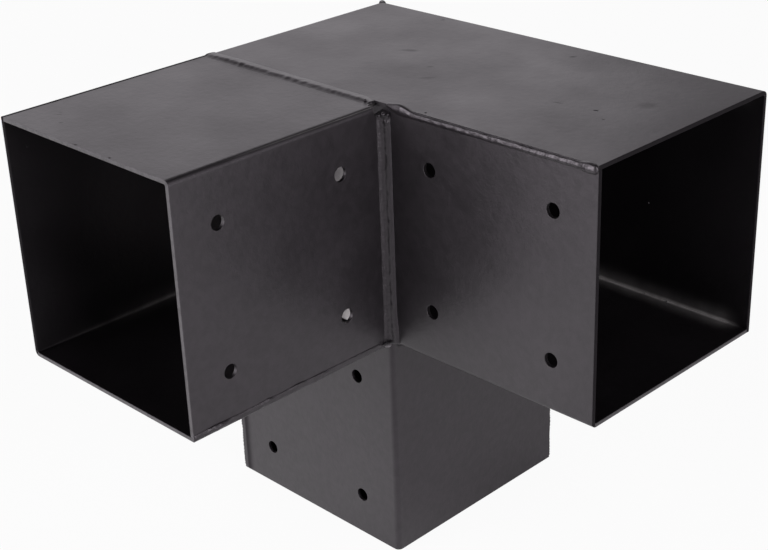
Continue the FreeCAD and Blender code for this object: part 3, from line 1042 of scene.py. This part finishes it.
ridge_crown = [
    (RIDGE_FOOT, -RIDGE_SUNK),
    (-2.1, 0.03),
    (-1.7, 0.14),
    (-1.3, 0.32),
    (-0.9, 0.53),
    (-0.5, 0.71),
    (-0.2, 0.78),
    (0.2, 0.79),
    (0.7, 0.76),
    (1.2, 0.71),
    (1.7, 0.65),
    (2.2, 0.58),
    (2.7, 0.50),
    (3.1, 0.43),
    (RIDGE_BACK, DROP - RIDGE_SUNK),
]
ridge_root = [(RIDGE_BACK, -RIDGE_LIP), (GAP, -GAP_FILL), (0, -GAP_FILL), (RIDGE_FOOT, -RIDGE_LIP)]
lay_bead(
    "weld_arm_to_box_top",
    Vector((-HALF + RIDGE_START, ARM_ROOT, ARM_TOP)),
    Vector((HALF - RIDGE_STOP, ARM_ROOT, ARM_TOP)),
    Y,
    Z,
    (ridge_crown, ridge_root),
    seed=7.0,
    nose=0.6,
    ripple=0.0,
    lump=0.12,
    swells=[
        (0.0, 5.0, 0.0, -0.25, 0.0),
        (20.0, 14.0, 0.0, 0.3, 0.0),
        (91.0, 4.0, 0.0, -0.45, 0.0),
    ],
)

# %% Lay the upright joints
PASSES_MEET = (1.45, 1.55)
FILLET_LEG = 3.6
FILLET_SPREAD = GAP + 1.6
FILLET_POINTS = 11
RIGHT_BELLY = 0.30
LEFT_BELLY = -0.25
FILLET_START = 0.2
FILLET_STOP = 2.5
BUTT = raised(3.2, 0.9)
BUTT_FILL = 1.4
BUTT_STOP = 90
CORNER_POKE = 0.4

right_pass = bulged((0, FILLET_LEG), PASSES_MEET, RIGHT_BELLY, FILLET_POINTS)
left_pass = bulged(PASSES_MEET, (FILLET_SPREAD, 0), LEFT_BELLY, FILLET_POINTS)
lay_bead(
    "weld_arm_to_box_inner",
    Vector((HALF, -HALF, SEAT + FILLET_START)),
    Vector((HALF, -HALF, TOP - FILLET_STOP)),
    -Y,
    X,
    (right_pass + left_pass[1:], corner_root(FILLET_SPREAD, FILLET_LEG)),
    seed=8.0,
    nose=1.2,
    ripple=0.02,
    lump=0.16,
    swells=[(2.0, 9.0, 0.05, 0.30, 0.0)],
    bumps=[
        (91.0, 0.15, 0.8, 0.80),
        (90.9, 0.50, 0.7, 0.80),
        (91.0, 0.80, 0.9, 0.80),
        (88.3, 0.30, 0.9, 0.50),
    ],
)
lay_bead(
    "weld_arm_to_box_outer",
    Vector((-HALF, ARM_ROOT + GAP / 2, SEAT + BEND)),
    Vector((-HALF, ARM_ROOT + GAP / 2, SEAT + BUTT_STOP)),
    -Y,
    -X,
    (BUTT[0], [(GAP / 2, -BUTT_FILL), (-GAP / 2, -BUTT_FILL)]),
    seed=9.0,
)
corner_steps = [n / (CROWN_POINTS - 1) for n in range(CROWN_POINTS)]
lay_bead(
    "weld_box_corner_seam",
    Vector((-HALF, HALF, SEAT)),
    Vector((-HALF, HALF, TOP + CORNER_POKE)),
    X,
    -Y,
    ([(BEND * t, BEND * (1 - t)) for t in corner_steps], [(BEND, BEND)]),
    seed=10.0,
)

# %% Lay the joints round the post
POST_LEG = 3.4
ARM_LEG = GAP + 1.3
CORNER_GAP = 3.4

lay_bead(
    "weld_post_to_arm",
    Vector((-HALF + BEND, -HALF, ARM_SEAT)),
    Vector((HALF - BEND, -HALF, ARM_SEAT)),
    -Y,
    -Z,
    fillet(ARM_LEG, POST_LEG, 0.5),
    seed=11.0,
    nose=2.5,
)
lay_bead(
    "weld_post_to_box_right",
    Vector((HALF, -HALF + BEND, SEAT)),
    Vector((HALF, HALF, SEAT)),
    X,
    -Z,
    fillet(POST_LEG, POST_LEG, 0.6),
    seed=12.0,
    nose=2.5,
)
lay_bead(
    "weld_post_to_box_back",
    Vector((-HALF + CORNER_GAP, HALF, SEAT)),
    Vector((HALF - CORNER_GAP, HALF, SEAT)),
    Z,
    Y,
    BUTT,
    seed=13.0,
    nose=1.6,
)
lay_bead(
    "weld_post_to_box_left",
    Vector((-HALF, -HALF + CORNER_GAP, SEAT)),
    Vector((-HALF, HALF - CORNER_GAP, SEAT)),
    Z,
    -X,
    BUTT,
    seed=14.0,
    nose=1.6,
)

# %% [markdown]
# ## Drops of spatter
# Welding throws small drops that stick where they land and are coated over with the rest. A few can be
# seen: some at the head of the inside corner, one at the ridge's end, and single ones on the top and inside
# the sockets. Each is a flattened ball, half sunk into the steel, and they share one mesh. The fat drop at
# the foot of the inside corner is painted pale, a painted highlight where it looks lit, so it is a mesh of
# its own.

# %% Set the drops
# Each drop's middle and its three radii, in millimetres.
DROPS = [
    ((50.4, -48.3, 186.4), (0.8, 0.8, 0.9)),
    ((50.1, -50.0, 187.0), (0.9, 0.9, 0.8)),
    ((48.3, -50.3, 186.3), (0.8, 0.8, 0.8)),
    ((41.1, -49.9, 190.3), (0.5, 0.5, 0.4)),
    ((16.3, -142.1, 189.4), (0.5, 0.4, 0.4)),
    ((66.3, -45.5, 190.0), (0.5, 0.5, 0.2)),
    ((95.4, 46.0, 135.0), (0.6, 0.3, 0.6)),
    ((-46.0, -134.6, 176.7), (0.3, 0.5, 0.5)),
    ((96.1, 45.6, 96.7), (0.5, 0.4, 0.3)),
    ((106.7, 45.4, 96.7), (0.5, 0.4, 0.3)),
]
# This drop gets the paler coat: a painted highlight.
FOOT_DROPS = [
    ((48.9, -51.0, 95.9), (1.5, 1.5, 0.8)),
]
DROP_DIVISIONS = 3


def set_drops(name, places, material):
    """One mesh of flattened balls, each given by its middle and its radii."""
    shape = bmesh.new()
    for place, radii in places:
        size = Matrix.Diagonal(Vector(radii) * MM).to_4x4()
        bmesh.ops.create_icosphere(
            shape,
            subdivisions=DROP_DIVISIONS,
            radius=1.0,
            matrix=Matrix.Translation(Vector(place) * MM) @ size,
        )
    mesh = bpy.data.meshes.new(name)
    shape.to_mesh(mesh)
    shape.free()
    mesh.shade_smooth()
    mesh.materials.append(material)
    drops = bpy.data.objects.new(name, mesh)
    bpy.context.collection.objects.link(drops)
    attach(drops, "root")
    print(name, len(places))


set_drops("weld_drops", DROPS, weld_coat)
set_drops("weld_foot_drop", FOOT_DROPS, painted_highlight_coat)
